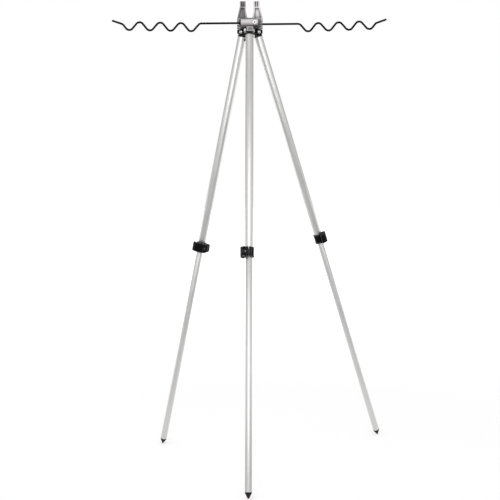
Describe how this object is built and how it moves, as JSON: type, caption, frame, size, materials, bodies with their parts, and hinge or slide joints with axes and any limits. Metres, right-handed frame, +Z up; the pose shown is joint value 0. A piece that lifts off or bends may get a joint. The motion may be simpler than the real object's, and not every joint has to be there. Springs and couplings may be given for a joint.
{
  "type": "rod tripod",
  "caption": "Stand for fishing rods: a forked plastic head, fold-up wavy wire rod rests, and telescopic aluminium legs locked by flip levers.",
  "frame": {"origin": "on the floor, at the middle of the stand's extent in X and Y", "axes": "+Z up; the two arms run along -X and +X; the front leg points towards -Y, the other two to the back left and back right"},
  "size_m": [0.5983, 0.4754, 0.9986],
  "materials": {
    "satin_aluminium": "satin anodised, fine lengthwise grain",
    "grey_plastic": "smooth gunmetal grey moulding with soft gloss",
    "black_plastic": "black moulding with a low sheen",
    "coated_wire": "black plastic coating over steel wire",
    "zinc_steel": "bright zinc plate",
    "blackened_steel": "black oxide",
    "cast_metal": "die-cast, satin, light grey",
    "brass": "plain turned"
  },
  "bodies": {
    "head": {"head_fork": "grey_plastic", "hub_spider": "black_plastic", "hub_screw": "zinc_steel", "arm_bolt_left": "zinc_steel", "arm_washer_left": "zinc_steel", "arm_insert_left": "brass", "arm_bolt_right": "zinc_steel", "arm_washer_right": "zinc_steel", "arm_insert_right": "brass", "pivot_bolt_left": "zinc_steel", "pivot_nut_left": "zinc_steel", "pivot_bolt_front": "zinc_steel", "pivot_nut_front": "zinc_steel", "pivot_bolt_right": "zinc_steel", "pivot_nut_right": "zinc_steel"},
    "arm_left": {"arm_block_left": "cast_metal", "arm_wire_left": "coated_wire"},
    "arm_right": {"arm_block_right": "cast_metal", "arm_wire_right": "coated_wire"},
    "leg_left": {"leg_cap_left": "black_plastic", "cap_rivet_left": "blackened_steel", "upper_tube_left": "satin_aluminium", "clamp_collar_left": "black_plastic", "lever_pin_left": "blackened_steel", "clamp_screw_left": "zinc_steel"},
    "lower_left": {"lower_tube_left": "satin_aluminium", "slide_bush_left": "black_plastic", "foot_tip_left": "black_plastic"},
    "lever_left": {"clamp_lever_left": "black_plastic"},
    "leg_front": {"leg_cap_front": "black_plastic", "cap_rivet_front": "blackened_steel", "upper_tube_front": "satin_aluminium", "clamp_collar_front": "black_plastic", "lever_pin_front": "blackened_steel", "clamp_screw_front": "zinc_steel"},
    "lower_front": {"lower_tube_front": "satin_aluminium", "slide_bush_front": "black_plastic", "foot_tip_front": "black_plastic"},
    "lever_front": {"clamp_lever_front": "black_plastic"},
    "leg_right": {"leg_cap_right": "black_plastic", "cap_rivet_right": "blackened_steel", "upper_tube_right": "satin_aluminium", "clamp_collar_right": "black_plastic", "lever_pin_right": "blackened_steel", "clamp_screw_right": "zinc_steel"},
    "lower_right": {"lower_tube_right": "satin_aluminium", "slide_bush_right": "black_plastic", "foot_tip_right": "black_plastic"},
    "lever_right": {"clamp_lever_right": "black_plastic"}
  },
  "joints": [
    {"name": "arm_fold_left", "type": "hinge", "parent": "head", "child": "arm_left", "pos_m": [0.00563, 0.04196, 0.953], "axis": [0, 1, 0], "range_deg": [0, 90]},
    {"name": "arm_fold_right", "type": "hinge", "parent": "head", "child": "arm_right", "pos_m": [-0.01537, 0.06296, 0.953], "axis": [0, -1, 0], "range_deg": [0, 90]},
    {"name": "leg_spread_left", "type": "hinge", "parent": "head", "child": "leg_left", "pos_m": [-0.02044, 0.06109, 0.935], "axis": [0.4848, 0.8746, 0], "range_deg": [-12.4, 8.4]},
    {"name": "leg_slide_left", "type": "slide", "parent": "leg_left", "child": "lower_left", "axis": [-0.2057, 0.114, -0.972], "range_m": [-0.409, 0.045]},
    {"name": "lever_flip_left", "type": "hinge", "parent": "leg_left", "child": "lever_left", "pos_m": [-0.11188, 0.10168, 0.46288], "axis": [0.2057, -0.114, 0.972], "range_deg": [0, 110]},
    {"name": "leg_spread_front", "type": "hinge", "parent": "head", "child": "leg_front", "pos_m": [-0.00562, 0.03467, 0.935], "axis": [-0.9991, 0.0419, 0], "range_deg": [-14.8, 6]},
    {"name": "leg_slide_front", "type": "slide", "parent": "leg_front", "child": "lower_front", "axis": [-0.0115, -0.2754, -0.9613], "range_m": [-0.419, 0.034]},
    {"name": "lever_flip_front", "type": "hinge", "parent": "leg_front", "child": "lever_front", "pos_m": [-0.02152, -0.11071, 0.47509], "axis": [0.0115, 0.2754, 0.9613], "range_deg": [0, 110]},
    {"name": "leg_spread_right", "type": "hinge", "parent": "head", "child": "leg_right", "pos_m": [0.01035, 0.06168, 0.935], "axis": [0.518, -0.8554, 0], "range_deg": [-18.3, 2.5]},
    {"name": "leg_slide_right", "type": "slide", "parent": "leg_right", "child": "lower_right", "axis": [0.2855, 0.1729, -0.9426], "range_m": [-0.439, 0.015]},
    {"name": "lever_flip_right", "type": "hinge", "parent": "leg_right", "child": "lever_right", "pos_m": [0.16121, 0.15373, 0.48591], "axis": [-0.2855, -0.1729, 0.9426], "range_deg": [0, 110]}
  ]
}
